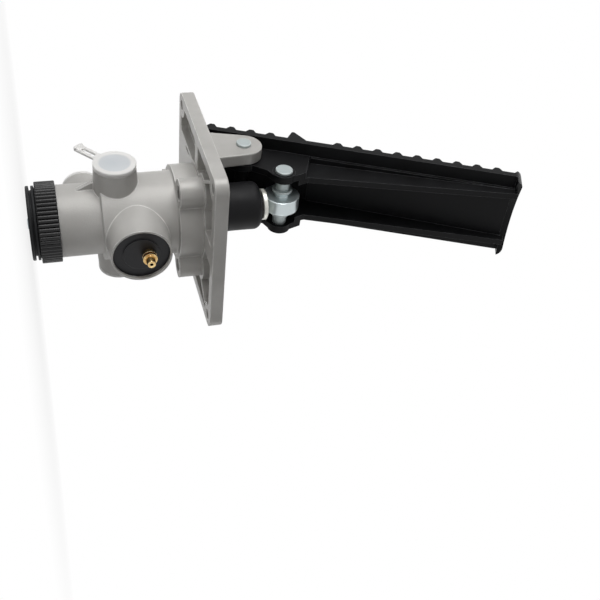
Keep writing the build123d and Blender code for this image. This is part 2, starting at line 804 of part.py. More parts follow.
# Washers and spacing sleeves between the roller's hub and the cheeks
washer_start = hub_end + rest_gap
washer_end = washer_start + roller_washer_thickness
with BuildPart() as roller_washers:
    for side in (1, -1):
        cross_bar(roller_y, roller_z, roller_washer_radius, side * washer_start, side * washer_end)
    cross_bar(roller_y, roller_z, roller_pin_radius + seat_fit, -washer_end, washer_end, Mode.SUBTRACT)
roller_washers.part.label = "roller_washers"
export_step(roller_washers.part, "parts/roller_washers.step")

with BuildPart() as roller_sleeves:
    for side in (1, -1):
        cross_bar(roller_y, roller_z, roller_sleeve_radius, side * washer_end, side * near_flange_inner)
    cross_bar(
        roller_y, roller_z, roller_pin_radius + seat_fit, -near_flange_inner, near_flange_inner, Mode.SUBTRACT
    )
roller_sleeves.part.label = "roller_sleeves"
export_step(roller_sleeves.part, "parts/roller_sleeves.step")

# Plunger: rod with its spring seat, and the disc the roller bears on
with BuildPart() as plunger:
    turned(
        [
            (0, disc_bottom + disc_spigot_height),
            (disc_spigot_radius, disc_bottom + disc_spigot_height),
            (disc_spigot_radius, disc_bottom),
            (plunger_radius, disc_bottom),
            (plunger_radius, -spring_seat_top),
            (spring_seat_radius, -spring_seat_top),
            (spring_seat_radius, -spring_seat_bottom),
            (0, -spring_seat_bottom),
        ]
    )
plunger.part.label = "plunger"
export_step(plunger.part, "parts/plunger.step")

with BuildPart() as plunger_disc:
    turned(
        [
            (0, disc_top),
            (disc_radius, disc_top),
            (disc_radius, disc_bottom),
            (disc_spigot_radius + seat_fit, disc_bottom),
            (disc_spigot_radius + seat_fit, disc_bottom + disc_spigot_height + seat_fit),
            (0, disc_bottom + disc_spigot_height + seat_fit),
        ]
    )
    outer_rim = plunger_disc.edges().filter_by(GeomType.CIRCLE).sort_by(SortBy.RADIUS)[-2:]
    chamfer(outer_rim, disc_edge_chamfer)
plunger_disc.part.label = "plunger_disc"
export_step(plunger_disc.part, "parts/plunger_disc.step")

with BuildPart() as plunger_guide:
    turned(
        [
            (plunger_radius + running_fit, guide_top),
            (guide_outer, guide_top),
            (guide_outer, 0),
            (guide_flange, 0),
            (guide_flange, rest_gap - spring_seat_top),
            (plunger_radius + running_fit, rest_gap - spring_seat_top),
        ]
    )
plunger_guide.part.label = "plunger_guide"
export_step(plunger_guide.part, "parts/plunger_guide.step")

# Rubber boot round the plunger, gripping the plate's raised ring
boot_inner = boot_radius - boot_wall
with BuildPart() as dust_boot:
    turned(
        [
            (boot_inner, plate_thickness),
            (boot_radius, plate_thickness),
            (boot_radius, boot_top),
            (boot_neck_radius, boot_top),
            (boot_neck_radius, boot_neck_top),
            (plunger_radius + boot_grip, boot_neck_top),
            (plunger_radius + boot_grip, boot_top - boot_wall),
            (boot_inner, boot_top - boot_wall),
        ]
    )
    rings = dust_boot.edges().filter_by(GeomType.CIRCLE)
    shoulder = rings.filter_by_position(Axis.Z, boot_top - embed, boot_top + embed)
    fillet(shoulder.sort_by(SortBy.RADIUS)[-1], boot_shoulder_round)
    rings = dust_boot.edges().filter_by(GeomType.CIRCLE)
    under_z = boot_top - boot_wall
    under = rings.filter_by_position(Axis.Z, under_z - seat_fit, under_z + seat_fit)
    fillet(under.sort_by(SortBy.RADIUS)[-1], boot_shoulder_round - boot_wall)
dust_boot.part.label = "dust_boot"
export_step(dust_boot.part, "parts/dust_boot.step")

# Springs
with BuildPart() as graduating_spring:
    coil(graduating_coil, graduating_wire, graduating_turns, -spring_seat_bottom, -upper_crown_top)
graduating_spring.part.label = "graduating_spring"
export_step(graduating_spring.part, "parts/graduating_spring.step")

with BuildPart() as upper_piston_spring:
    coil(piston_coil, piston_wire, piston_turns, -upper_crown_bottom, -partition_top)
upper_piston_spring.part.label = "upper_piston_spring"
export_step(upper_piston_spring.part, "parts/upper_piston_spring.step")

with BuildPart() as upper_valve_spring:
    coil(valve_coil, valve_wire, valve_turns, -partition_bottom - valve_disc_thickness, -relay_bore_top)
upper_valve_spring.part.label = "upper_valve_spring"
export_step(upper_valve_spring.part, "parts/upper_valve_spring.step")

with BuildPart() as relay_piston_spring:
    coil(relay_coil, relay_wire, relay_turns, -relay_crown_bottom, -carrier_shoulder)
relay_piston_spring.part.label = "relay_piston_spring"
export_step(relay_piston_spring.part, "parts/relay_piston_spring.step")

with BuildPart() as lower_valve_spring:
    coil(valve_coil, valve_wire, valve_turns, -carrier_bottom - valve_disc_thickness, -lower_guide_top)
lower_valve_spring.part.label = "lower_valve_spring"
export_step(lower_valve_spring.part, "parts/lower_valve_spring.step")


def piston(bore, crown_top, crown_bottom, stem_end):
    # a crown with a seal groove, and a hollow stem below it
    ring_top = (crown_top + crown_bottom - piston_ring_width) / 2
    turned(
        [
            (stem_bore, -crown_top),
            (bore - running_fit, -crown_top),
            (bore - running_fit, -ring_top),
            (bore - running_fit - piston_ring_depth, -ring_top),
            (bore - running_fit - piston_ring_depth, -ring_top - piston_ring_width),
            (bore - running_fit, -ring_top - piston_ring_width),
            (bore - running_fit, -crown_bottom),
            (stem_radius, -crown_bottom),
            (stem_radius, -stem_end),
            (stem_bore, -stem_end),
        ]
    )


def piston_ring(bore, crown_top, crown_bottom):
    # the square seal ring in a piston's groove
    ring_top = (crown_top + crown_bottom - piston_ring_width) / 2 + seat_fit
    ring_inner = bore - running_fit - piston_ring_depth + seat_fit
    turned(
        [
            (ring_inner, -ring_top),
            (bore - running_fit, -ring_top),
            (bore - running_fit, -ring_top - piston_ring_width + 2 * seat_fit),
            (ring_inner, -ring_top - piston_ring_width + 2 * seat_fit),
        ]
    )


def double_seat_valve(top, stem_length):
    # a flat valve disc on a hollow stem
    turned(
        [
            (stem_bore, -top),
            (valve_disc_radius, -top),
            (valve_disc_radius, -top - valve_disc_thickness),
            (valve_stem_radius, -top - valve_disc_thickness),
            (valve_stem_radius, -top - stem_length),
            (stem_bore, -top - stem_length),
        ]
    )


with BuildPart() as upper_piston:
    piston(upper_bore, upper_crown_top, upper_crown_bottom, upper_stem_end)
upper_piston.part.label = "upper_piston"
export_step(upper_piston.part, "parts/upper_piston.step")

with BuildPart() as upper_piston_seal:
    piston_ring(upper_bore, upper_crown_top, upper_crown_bottom)
upper_piston_seal.part.label = "upper_piston_seal"
export_step(upper_piston_seal.part, "parts/upper_piston_seal.step")

with BuildPart() as upper_valve:
    double_seat_valve(partition_bottom, valve_stem_length)
upper_valve.part.label = "upper_valve"
export_step(upper_valve.part, "parts/upper_valve.step")

# Carrier of the upper valve: a plate with a skirt that the side passages cross
with BuildPart() as upper_valve_guide:
    turned(
        [
            (valve_stem_radius + running_fit, -relay_bore_top),
            (relay_bore - seat_fit, -relay_bore_top),
            (relay_bore - seat_fit, -relay_crown_top + rest_gap),
            (relay_bore - seat_fit - skirt_wall, -relay_crown_top + rest_gap),
            (relay_bore - seat_fit - skirt_wall, -upper_plate_bottom),
            (valve_stem_radius + running_fit, -upper_plate_bottom),
        ]
    )
    cross_bar(0, -side_port_depth, passage_radius, -relay_bore, relay_bore, Mode.SUBTRACT)
upper_valve_guide.part.label = "upper_valve_guide"
export_step(upper_valve_guide.part, "parts/upper_valve_guide.step")

with BuildPart() as relay_piston:
    piston(relay_bore, relay_crown_top, relay_crown_bottom, relay_stem_end)
relay_piston.part.label = "relay_piston"
export_step(relay_piston.part, "parts/relay_piston.step")

with BuildPart() as relay_piston_seal:
    piston_ring(relay_bore, relay_crown_top, relay_crown_bottom)
relay_piston_seal.part.label = "relay_piston_seal"
export_step(relay_piston_seal.part, "parts/relay_piston_seal.step")

# Lower seat, seated on the bore's shoulder
with BuildPart() as lower_seat_carrier:
    turned(
        [
            (valve_seat_radius, -carrier_shoulder),
            (lower_bore - seat_fit, -carrier_shoulder),
            (lower_bore - seat_fit, -carrier_bottom),
            (valve_seat_radius, -carrier_bottom),
        ]
    )
lower_seat_carrier.part.label = "lower_seat_carrier"
export_step(lower_seat_carrier.part, "parts/lower_seat_carrier.step")

with BuildPart() as lower_valve:
    double_seat_valve(carrier_bottom, lower_valve_stem_length)
lower_valve.part.label = "lower_valve"
export_step(lower_valve.part, "parts/lower_valve.step")

# Carrier of the lower valve, its skirt up against the lower seat
with BuildPart() as lower_valve_guide:
    turned(
        [
            (valve_stem_radius + running_fit, -lower_guide_top),
            (lower_bore - seat_fit - skirt_wall, -lower_guide_top),
            (lower_bore - seat_fit - skirt_wall, -carrier_bottom),
            (lower_bore - seat_fit, -carrier_bottom),
            (lower_bore - seat_fit, -lower_plate_bottom),
            (valve_stem_radius + running_fit, -lower_plate_bottom),
        ]
    )
    skirt_inside = skirt_wall + embed - lower_bore
    facing_bar(front_port_depth, passage_radius, -lower_bore, skirt_inside, Mode.SUBTRACT)
lower_valve_guide.part.label = "lower_valve_guide"
export_step(lower_valve_guide.part, "parts/lower_valve_guide.step")

# Snap ring that holds the lower stack in
with BuildPart() as snap_ring:
    ring_top = snap_groove_top + seat_fit
    turned(
        [
            (snap_ring_inner, -ring_top),
            (snap_groove_radius - seat_fit, -ring_top),
            (snap_groove_radius - seat_fit, -ring_top - snap_groove_width + 2 * seat_fit),
            (snap_ring_inner, -ring_top - snap_groove_width + 2 * seat_fit),
        ]
    )
    with BuildSketch(Plane.XY.offset(-ring_top)):
        with Locations((0, lower_bore)):
            Rectangle(snap_ring_gap, 2 * (snap_groove_radius - snap_ring_inner))
    extrude(amount=-2 * snap_groove_width, mode=Mode.SUBTRACT)
snap_ring.part.label = "snap_ring"
export_step(snap_ring.part, "parts/snap_ring.step")

# Silencer: fluted cup pushed on the neck, felt, rubber flap, washer and rivet
with BuildPart() as silencer_housing:
    with BuildSketch(Plane.XY.offset(-silencer_bottom)):
        Circle(silencer_radius)
        with PolarLocations(silencer_radius + flute_radius - flute_depth, flute_count):
            Circle(flute_radius, mode=Mode.SUBTRACT)
    extrude(amount=silencer_bottom - silencer_top)
    with BuildSketch(Plane.XY.offset(-silencer_inner_floor)):
        Circle(neck_radius + seat_fit)
    extrude(amount=silencer_inner_floor - silencer_top, mode=Mode.SUBTRACT)
    with BuildSketch(Plane.XY.offset(-silencer_bottom)):
        with PolarLocations(vent_circle, vent_count):
            Circle(vent_radius)
        Circle(rivet_radius + seat_fit)
    extrude(amount=silencer_floor, mode=Mode.SUBTRACT)
silencer_housing.part.label = "silencer_housing"
export_step(silencer_housing.part, "parts/silencer_housing.step")

with BuildPart() as silencer_felt:
    turned(
        [
            (felt_bore, -silencer_inner_floor + felt_thickness),
            (felt_radius, -silencer_inner_floor + felt_thickness),
            (felt_radius, -silencer_inner_floor),
            (felt_bore, -silencer_inner_floor),
        ]
    )
silencer_felt.part.label = "silencer_felt"
export_step(silencer_felt.part, "parts/silencer_felt.step")

with BuildPart() as exhaust_flap:
    turned(
        [
            (rivet_radius + seat_fit, -silencer_bottom),
            (flap_gap_radius, -silencer_bottom),
            (flap_gap_radius, -silencer_bottom - flap_gap_depth),
            (flap_radius, -silencer_bottom - flap_gap_depth),
            (flap_radius, -flap_bottom),
            (flap_dish_radius, -flap_bottom),
            (flap_dish_radius, -flap_dish_floor),
            (rivet_radius + seat_fit, -flap_dish_floor),
        ]
    )
    flap_rims = exhaust_flap.edges().filter_by(GeomType.CIRCLE).group_by(Axis.Z)[0]
    flap_rim = flap_rims.sort_by(SortBy.RADIUS)[-1]
    fillet(flap_rim, flap_edge_round)
exhaust_flap.part.label = "exhaust_flap"
export_step(exhaust_flap.part, "parts/exhaust_flap.step")

with BuildPart() as flap_washer:
    turned(
        [
            (rivet_radius + seat_fit, -flap_dish_floor),
            (flap_washer_radius, -flap_dish_floor),
            (flap_washer_radius, -washer_bottom),
            (rivet_radius + seat_fit, -washer_bottom),
        ]
    )
flap_washer.part.label = "flap_washer"
export_step(flap_washer.part, "parts/flap_washer.step")

with BuildPart() as flap_rivet:
    turned(
        [
            (0, -silencer_inner_floor + rivet_head_height),
            (rivet_head_radius, -silencer_inner_floor + rivet_head_height),
            (rivet_head_radius, -silencer_inner_floor),
            (rivet_radius, -silencer_inner_floor),
            (rivet_radius, -washer_bottom),
            (rivet_head_radius, -washer_bottom),
            (rivet_head_radius - rivet_head_height / 2, -washer_bottom - rivet_head_height),
            (rivet_hollow_radius, -washer_bottom - rivet_head_height),
            (rivet_hollow_radius, -washer_bottom + rivet_hollow_depth),
            (0, -washer_bottom + rivet_hollow_depth),
        ]
    )
flap_rivet.part.label = "flap_rivet"
export_step(flap_rivet.part, "parts/flap_rivet.step")

# Plug in the rear boss: a stepped disc with a hole for the nipple
with BuildPart() as rear_plug:
    facing_bar(rear_boss_depth, rear_plug_radius, rear_recess_floor, plug_face)
    facing_bar(rear_boss_depth, plug_step_radius, plug_face, plug_face + plug_step_height)
    plug_top = plug_face + plug_step_height
    shank_bore = nipple_shank_radius + seat_fit
    facing_bar(nipple_depth, shank_bore, plug_face - plug_thickness, plug_top, Mode.SUBTRACT)
    groove_end = rear_recess_floor + embed
    facing_bar(rear_passage_depth, passage_radius, rear_recess_floor, groove_end, Mode.SUBTRACT)
rear_plug.part.label = "rear_plug"
export_step(rear_plug.part, "parts/rear_plug.step")

# Brass nipple turned about its own axis along Y
with BuildPart() as brass_nipple:
    nipple_face = Plane((0, plug_top, -nipple_depth), x_dir=(0, 0, 1), z_dir=(1, 0, 0))
    ring_start = nipple_base_height
    ring_end = ring_start + nipple_ring_height
    second_start = ring_end + nipple_ring_gap
    second_end = second_start + nipple_ring_height
    with BuildSketch(nipple_face):
        with BuildLine():
            Polyline(
                (0, plug_thickness + plug_step_height),
                (nipple_shank_radius, plug_thickness + plug_step_height),
                (nipple_shank_radius, 0),
                (nipple_base_radius, 0),
                (nipple_base_radius, -ring_start),
                (nipple_ring_radius, -ring_start),
                (nipple_ring_radius, -ring_end),
                (nipple_stem_radius, -ring_end),
                (nipple_stem_radius, -second_start),
                (nipple_ring_radius, -second_start),
                (nipple_ring_radius, -second_end),
                (nipple_stem_radius, -second_end),
                (nipple_tip_radius, -nipple_length),
                (nipple_bore_radius, -nipple_length),
                (nipple_bore_radius, 0),
                (0, 0),
                close=True,
            )
        make_face()
    revolve(axis=Axis((0, 0, -nipple_depth), (0, 1, 0)))
brass_nipple.part.label = "brass_nipple"
export_step(brass_nipple.part, "parts/brass_nipple.step")

# Transit caps: a rimmed disc, a hollow shank in the port and a slotted pull tab
right_port = Plane((side_port_face, 0, -side_port_depth), x_dir=(0, -0.72, -0.69), z_dir=(1, 0, 0))
left_port = Plane((-side_port_face, 0, -side_port_depth), x_dir=(0, 0.3, 1), z_dir=(-1, 0, 0))
front_port = Plane((0, -front_port_face, -front_port_depth), x_dir=(-1, 0, -0.1), z_dir=(0, -1, 0))
cap_places = {
    "transit_cap_right": (right_port, side_tab_tilt),
    "transit_cap_left": (left_port, side_tab_tilt),
    "transit_cap_front": (front_port, 0.0),
}
for cap_name, (cap_plane, tab_tilt) in cap_places.items():
    with BuildPart() as transit_cap:
        with BuildSketch(cap_plane):
            Circle(cap_radius)
        extrude(amount=cap_base)
        with BuildSketch(cap_plane.offset(cap_base)):
            Circle(cap_radius)
            Circle(cap_radius - cap_rim_width, mode=Mode.SUBTRACT)
        extrude(amount=cap_rim_height)
        rim_edges = transit_cap.faces().sort_by(Axis(cap_plane.origin, cap_plane.z_dir))[-1].edges()
        fillet(rim_edges, cap_edge_round)
        with BuildSketch(cap_plane):
            Circle(cap_shank_radius)
            Circle(cap_shank_radius - cap_shank_wall, mode=Mode.SUBTRACT)
        extrude(amount=-cap_shank_length)
        tab_root = cap_plane.origin + cap_plane.x_dir * (cap_radius - tab_overlap)
        tilt_cos, tilt_sin = cos(radians(tab_tilt)), sin(radians(tab_tilt))
        tab_along = cap_plane.x_dir * tilt_cos + cap_plane.z_dir * tilt_sin
        tab_normal = cap_plane.z_dir * tilt_cos - cap_plane.x_dir * tilt_sin
        tab_plane = Plane(tab_root, x_dir=tab_along, z_dir=tab_normal)
        with BuildSketch(tab_plane):
            Rectangle(tab_length + tab_overlap, tab_width, align=(Align.MIN, Align.CENTER))
            with Locations((tab_overlap + tab_slot_start + tab_slot_length / 2, 0)):
                SlotOverall(tab_slot_length, tab_slot_width, mode=Mode.SUBTRACT)
        extrude(amount=tab_thickness)
        with BuildSketch(tab_plane):
            with Locations((tab_length + tab_overlap, 0)):
                Rectangle(tab_lip_length, tab_width, align=(Align.MAX, Align.CENTER))
        extrude(amount=tab_lip_thickness)
        tab_end = transit_cap.edges().filter_by(Axis(cap_plane.origin, tab_normal)).sort_by(
            Axis(cap_plane.origin, tab_along)
        )[-2:]
        fillet(tab_end, tab_end_round)
    transit_cap.part.label = cap_name
    export_step(transit_cap.part, "parts/" + cap_name + ".step")
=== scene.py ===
import json
import math
import bmesh
import bpy
import numpy as np
from mathutils import Euler, Matrix, Vector


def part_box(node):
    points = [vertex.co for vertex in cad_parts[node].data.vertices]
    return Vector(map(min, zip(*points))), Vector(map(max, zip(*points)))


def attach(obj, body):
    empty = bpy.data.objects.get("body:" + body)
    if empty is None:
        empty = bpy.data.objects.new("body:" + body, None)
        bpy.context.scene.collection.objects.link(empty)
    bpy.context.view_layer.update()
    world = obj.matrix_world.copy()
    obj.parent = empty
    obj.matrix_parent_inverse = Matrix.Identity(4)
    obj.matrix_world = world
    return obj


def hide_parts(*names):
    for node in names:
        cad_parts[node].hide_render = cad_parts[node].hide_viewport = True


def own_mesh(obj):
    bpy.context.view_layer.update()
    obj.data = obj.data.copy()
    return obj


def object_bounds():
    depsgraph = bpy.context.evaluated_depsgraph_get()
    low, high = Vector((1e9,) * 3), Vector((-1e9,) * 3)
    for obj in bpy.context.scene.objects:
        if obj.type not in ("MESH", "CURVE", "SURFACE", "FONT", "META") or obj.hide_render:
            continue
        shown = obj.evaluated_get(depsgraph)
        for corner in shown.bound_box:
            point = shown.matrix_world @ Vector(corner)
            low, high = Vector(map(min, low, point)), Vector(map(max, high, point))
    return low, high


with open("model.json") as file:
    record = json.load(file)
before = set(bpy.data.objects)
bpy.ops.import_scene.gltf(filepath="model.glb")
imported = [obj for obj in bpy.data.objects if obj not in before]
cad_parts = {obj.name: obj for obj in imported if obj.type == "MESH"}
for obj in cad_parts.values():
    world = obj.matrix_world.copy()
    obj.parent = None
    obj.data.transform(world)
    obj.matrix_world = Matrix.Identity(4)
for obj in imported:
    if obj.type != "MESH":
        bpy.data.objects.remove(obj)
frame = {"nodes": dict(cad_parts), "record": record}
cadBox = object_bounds()
print("frame loaded")

mm = 0.001
weldGap = 2e-7
sliverSize = 1e-7


def addObject(name, mesh, smoothAngle):
    mesh.shade_smooth()
    mesh.set_sharp_from_angle(angle=math.radians(smoothAngle))
    piece = bpy.data.objects.new(name, mesh)
    bpy.context.scene.collection.objects.link(piece)
    return piece


def closedMesh(name, points, faces, smoothAngle=40):
    # doubles at poles and seams are merged and the faces turned outwards
    mesh = bpy.data.meshes.new(name)
    mesh.from_pydata(points, [], faces)
    work = bmesh.new()
    work.from_mesh(mesh)
    bmesh.ops.remove_doubles(work, verts=work.verts, dist=weldGap)
    bmesh.ops.dissolve_degenerate(work, dist=sliverSize, edges=work.edges)
    bmesh.ops.recalc_face_normals(work, faces=work.faces)
    work.to_mesh(mesh)
    work.free()
    return addObject(name, mesh, smoothAngle)


def gridFaces(rows, columns, closeRows=False):
    # quads between neighbouring rows and columns of a grid, the columns joined round
    i = np.arange(rows if closeRows else rows - 1)[:, None]
    j = np.arange(columns)[None, :]
    nextRow = (i + 1) % rows
    nextColumn = (j + 1) % columns
    corners = [i * columns + j, i * columns + nextColumn,
               nextRow * columns + nextColumn, nextRow * columns + j]
    return np.stack(np.broadcast_arrays(*corners), axis=-1).reshape(-1, 4)


def roundedProfile(corners, steps=5):
    # corners are (radius, height, round): each corner with a round becomes an arc
    # that touches both of its edges
    points = []
    for k in range(len(corners)):
        here = np.array(corners[k][:2], float)
        if corners[k][2] == 0:
            points.append(here)
            continue
        before = np.array(corners[k - 1][:2], float) - here
        after = np.array(corners[(k + 1) % len(corners)][:2], float) - here
        before /= np.linalg.norm(before)
        after /= np.linalg.norm(after)
        half = math.acos(np.clip(before @ after, -1, 1)) / 2
        reach = corners[k][2] / math.tan(half)
        halfway = (before + after) / np.linalg.norm(before + after)
        middle = here + halfway * corners[k][2] / math.sin(half)
        start = here + before * reach - middle
        end = here + after * reach - middle
        turn = math.atan2(start[0] * end[1] - start[1] * end[0], start @ end)
        angles = np.linspace(0, turn, steps + 1)
        points += list(np.stack([
            middle[0] + start[0] * np.cos(angles) - start[1] * np.sin(angles),
            middle[1] + start[0] * np.sin(angles) + start[1] * np.cos(angles)], axis=1))
    return np.array(points)


def turnedGrid(profile, segments, centre=(0, 0, 0), axis=(0, 0, 1), side=(1, 0, 0), shift=None):
    # a profile of (radius, height) rows turned about an axis: each point is
    # centre + axis * height + radius * (side * cos(t) + across * sin(t));
    # shift may change radius and height with the angle t
    centre, axis, side = (np.array(v, float) for v in (centre, axis, side))
    across = np.cross(axis, side)
    t = np.linspace(0, 2 * np.pi, segments, endpoint=False)[None, :]
    radius = profile[:, 0][:, None] + 0 * t
    height = profile[:, 1][:, None] + 0 * t
    if shift:
        radius, height = shift(radius, height, t)
    points = (centre + height[..., None] * axis + (radius * np.cos(t))[..., None] * side
              + (radius * np.sin(t))[..., None] * across)
    return points.reshape(-1, 3), gridFaces(len(profile), segments, True)


def lathe(name, profile, segments, smoothAngle=40, **place):
    points, faces = turnedGrid(profile, segments, **place)
    return closedMesh(name, points * mm, faces.tolist(), smoothAngle)


# Shared effects
effects = {
    "bevelSamples": 6, "lean": (0.996, 0.94), "edgeNoiseScale": 90.0, "edgeNoiseTop": 0.62,
    "patchDetail": 4.0, "patchRange": (0.3, 0.7), "grainDetail": 2.0, "grainRough": 0.6,
    "cellScale": 700.0, "cellShare": 0.5, "bumpDistance": 0.0002,
}


def newGroup(name, inputs, outputs):
    group = bpy.data.node_groups.new(name, "ShaderNodeTree")
    for label, kind, value in inputs:
        socket = group.interface.new_socket(name=label, in_out="INPUT", socket_type=kind)
        socket.default_value = value
    for label, kind in outputs:
        group.interface.new_socket(name=label, in_out="OUTPUT", socket_type=kind)
    return group, group.nodes.new("NodeGroupInput"), group.nodes.new("NodeGroupOutput")


def mapRange(tree, value, low, high, toLow=0.0, toHigh=1.0):
    node = tree.nodes.new("ShaderNodeMapRange")
    node.inputs["From Min"].default_value = low
    node.inputs["From Max"].default_value = high
    node.inputs["To Min"].default_value = toLow
    node.inputs["To Max"].default_value = toHigh
    tree.links.new(value, node.inputs["Value"])
    return node.outputs["Result"]


def noiseAt(tree, place, scale, detail=3.0, rough=0.55):
    # the scale is a number, or a socket that gives one
    node = tree.nodes.new("ShaderNodeTexNoise")
    if isinstance(scale, float):
        node.inputs["Scale"].default_value = scale
    else:
        tree.links.new(scale, node.inputs["Scale"])
    node.inputs["Detail"].default_value = detail
    node.inputs["Roughness"].default_value = rough
    tree.links.new(place, node.inputs["Vector"])
    return node


def edgeWearAndHighlightGroup():
    # how far the bevelled normal leans from the true one, broken up by a noise; finish() lightens edges
    # and fillets by it, partly as edge wear and partly as a painted highlight
    group, given, made = newGroup(
        "edgeWearAndHighlight",
        [("Width", "NodeSocketFloat", 0.0006), ("Break", "NodeSocketFloat", 0.3)],
        [("Edge", "NodeSocketFloat"), ("Normal", "NodeSocketVector")])
    bevel = group.nodes.new("ShaderNodeBevel")
    bevel.samples = effects["bevelSamples"]
    group.links.new(given.outputs["Width"], bevel.inputs["Radius"])
    shape = group.nodes.new("ShaderNodeNewGeometry")
    dot = group.nodes.new("ShaderNodeVectorMath")
    dot.operation = "DOT_PRODUCT"
    group.links.new(bevel.outputs["Normal"], dot.inputs[0])
    group.links.new(shape.outputs["Normal"], dot.inputs[1])
    lean = mapRange(group, dot.outputs["Value"], *effects["lean"])
    place = group.nodes.new("ShaderNodeTexCoord")
    patches = noiseAt(group, place.outputs["Object"], effects["edgeNoiseScale"])
    thin = group.nodes.new("ShaderNodeMapRange")
    group.links.new(patches.outputs["Fac"], thin.inputs["Value"])
    group.links.new(given.outputs["Break"], thin.inputs["From Min"])
    thin.inputs["From Max"].default_value = effects["edgeNoiseTop"]
    both = group.nodes.new("ShaderNodeMath")
    both.operation = "MULTIPLY"
    group.links.new(lean, both.inputs[0])
    group.links.new(thin.outputs["Result"], both.inputs[1])
    group.links.new(both.outputs["Value"], made.inputs["Edge"])
    group.links.new(bevel.outputs["Normal"], made.inputs["Normal"])
    return group


def mottleGroup():
    # a soft noise stretched to the full range, for patches of tone
    group, given, made = newGroup(
        "mottle", [("Scale", "NodeSocketFloat", 40.0)], [("Patches", "NodeSocketFloat")])
    place = group.nodes.new("ShaderNodeTexCoord")
    big = noiseAt(group, place.outputs["Object"], given.outputs["Scale"], effects["patchDetail"])
    group.links.new(mapRange(group, big.outputs["Fac"], *effects["patchRange"]), made.inputs["Patches"])
    return group


def grainGroup():
    # fine bead-blasted grain: a noise for the blasting and cells for the cast skin
    group, given, made = newGroup(
        "castGrain", [("Scale", "NodeSocketFloat", 1500.0)], [("Height", "NodeSocketFloat")])
    place = group.nodes.new("ShaderNodeTexCoord")
    fine = noiseAt(group, place.outputs["Object"], given.outputs["Scale"],
                   effects["grainDetail"], effects["grainRough"])
    cells = group.nodes.new("ShaderNodeTexVoronoi")
    cells.inputs["Scale"].default_value = effects["cellScale"]
    group.links.new(place.outputs["Object"], cells.inputs["Vector"])
    add = group.nodes.new("ShaderNodeMath")
    add.operation = "MULTIPLY_ADD"
    add.inputs[1].default_value = effects["cellShare"]
    group.links.new(cells.outputs["Distance"], add.inputs[0])
    group.links.new(fine.outputs["Fac"], add.inputs[2])
    group.links.new(add.outputs["Value"], made.inputs["Height"])
    return group


edgeWearAndHighlight = edgeWearAndHighlightGroup()
mottle = mottleGroup()
castGrain = grainGroup()


def useGroup(tree, group, **values):
    node = tree.nodes.new("ShaderNodeGroup")
    node.node_tree = group
    for label, value in values.items():
        node.inputs[label.replace("_", " ")].default_value = value
    return node


def mixColour(tree, factor, first, second):
    # a Mix node's colour inputs are its sockets 6 and 7, and its colour result is socket 2
    node = tree.nodes.new("ShaderNodeMix")
    node.data_type = "RGBA"
    for socket, value in ((node.inputs[6], first), (node.inputs[7], second)):
        if isinstance(value, tuple):
            socket.default_value = (*value, 1)
        else:
            tree.links.new(value, socket)
    tree.links.new(factor, node.inputs[0])
    return node.outputs[2]


def finish(name, light, dark, edge, metallic, rough, grain=0.0, grainScale=1500.0,
           edgeWidth=0.0005, edgeBreak=0.3, patchScale=40.0, rim=None, **sockets):
    # two tones in soft patches, an edge tone that is partly wear and partly a painted highlight on
    # edges and fillets, a roughness that follows the patches, and a fine grain over a bevelled normal;
    # rim is the tone where the mesh says so
    material = bpy.data.materials.new(name)
    material.use_nodes = True
    tree = material.node_tree
    shader = tree.nodes["Principled BSDF"]
    wearAndHighlight = useGroup(tree, edgeWearAndHighlight, Width=edgeWidth, Break=edgeBreak)
    patches = useGroup(tree, mottle, Scale=patchScale)
    tone = mixColour(tree, patches.outputs["Patches"], dark, light)
    # edges and fillets take the edge tone: partly worn edges, partly a painted highlight
    colour = mixColour(tree, wearAndHighlight.outputs["Edge"], tone, edge)
    # the rim tone is partly the cap's own cream tone and partly painted light for the glow of its
    # translucent rim
    if rim:
        share = tree.nodes.new("ShaderNodeAttribute")
        share.attribute_name = "rim"
        colour = mixColour(tree, share.outputs["Fac"], colour, rim)
    tree.links.new(colour, shader.inputs["Base Color"])
    tree.links.new(mapRange(tree, patches.outputs["Patches"], 0, 1, *rough), shader.inputs["Roughness"])
    shader.inputs["Metallic"].default_value = metallic
    bump = tree.nodes.new("ShaderNodeBump")
    bump.inputs["Strength"].default_value = grain
    bump.inputs["Distance"].default_value = effects["bumpDistance"]
    grit = useGroup(tree, castGrain, Scale=grainScale)
    tree.links.new(grit.outputs["Height"], bump.inputs["Height"])
    tree.links.new(wearAndHighlight.outputs["Normal"], bump.inputs["Normal"])
    tree.links.new(bump.outputs["Normal"], shader.inputs["Normal"])
    for label, value in sockets.items():
        shader.inputs[label.replace("_", " ")].default_value = value
    return material
